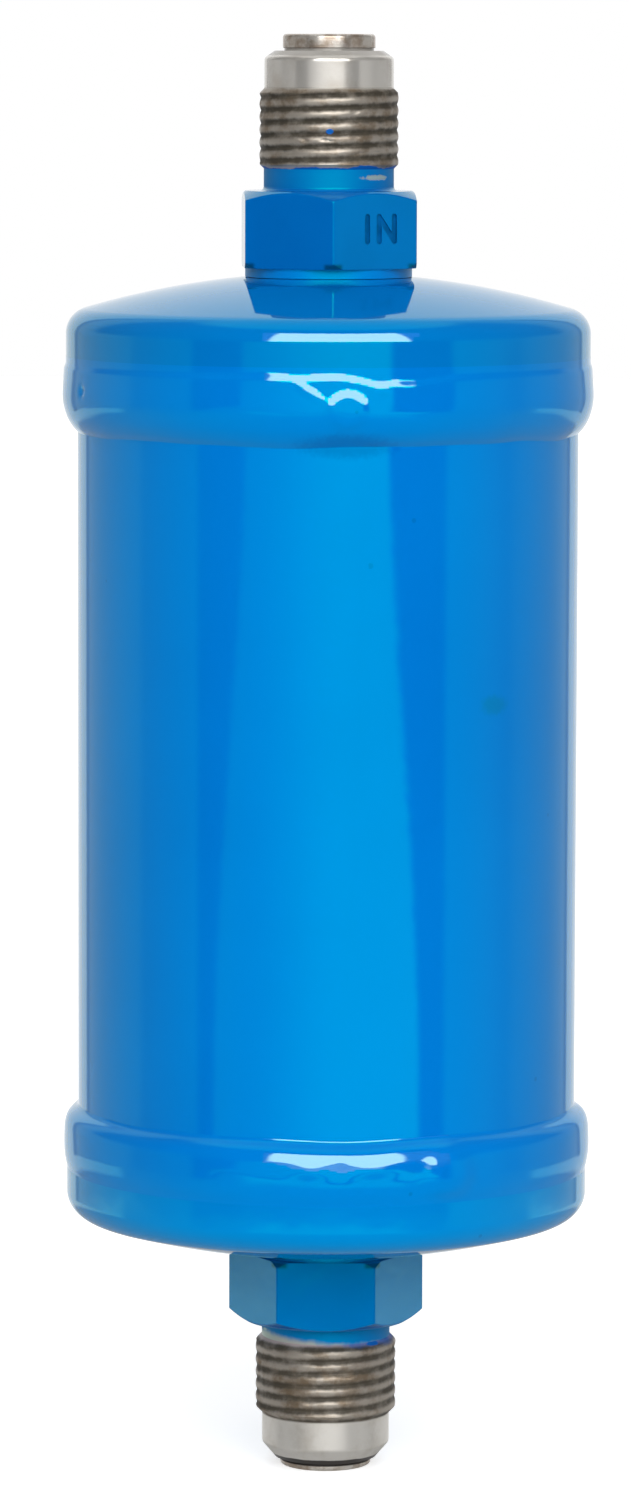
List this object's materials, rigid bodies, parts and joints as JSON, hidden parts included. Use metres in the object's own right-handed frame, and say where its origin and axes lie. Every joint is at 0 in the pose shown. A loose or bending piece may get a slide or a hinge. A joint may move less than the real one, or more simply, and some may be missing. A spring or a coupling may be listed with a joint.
{
  "type": "receiver drier",
  "caption": "Hermetic receiver drier: round painted steel shell with welded domed caps and a male flare fitting at each end.",
  "frame": {"origin": "on the shell's axis, half way between the ends of the two fittings", "axes": "+Z along the shell's axis towards the inlet fitting; +X and +Y square to it, with -Y facing the viewer of the picture"},
  "size_m": [0.06, 0.06, 0.1614],
  "materials": {
    "painted_steel": "gloss blue enamel over steel",
    "fitting_steel": "turned steel, bare on the threads, painted on the hexagon and neck",
    "plain_steel": "pressed steel sheet and drawn spring wire, bare",
    "wire_mesh": "woven stainless wire",
    "felt": "off-white felt and polyester mat",
    "desiccant": "moulded porous block, matt buff"
  },
  "bodies": {
    "root": {"shell_tube": "painted_steel", "inlet_end_cap": "painted_steel", "outlet_end_cap": "painted_steel", "inlet_cap_weld": "painted_steel", "outlet_cap_weld": "painted_steel", "inlet_fitting_weld": "painted_steel", "outlet_fitting_weld": "painted_steel", "inlet_fitting": "fitting_steel", "outlet_fitting": "fitting_steel", "outlet_plate": "plain_steel", "spring_cup": "plain_steel", "core_spring": "plain_steel", "outlet_screen": "wire_mesh", "outlet_pad": "felt", "core_gasket": "felt", "inlet_pad": "felt", "desiccant_core": "desiccant"}
  },
  "joints": []
}
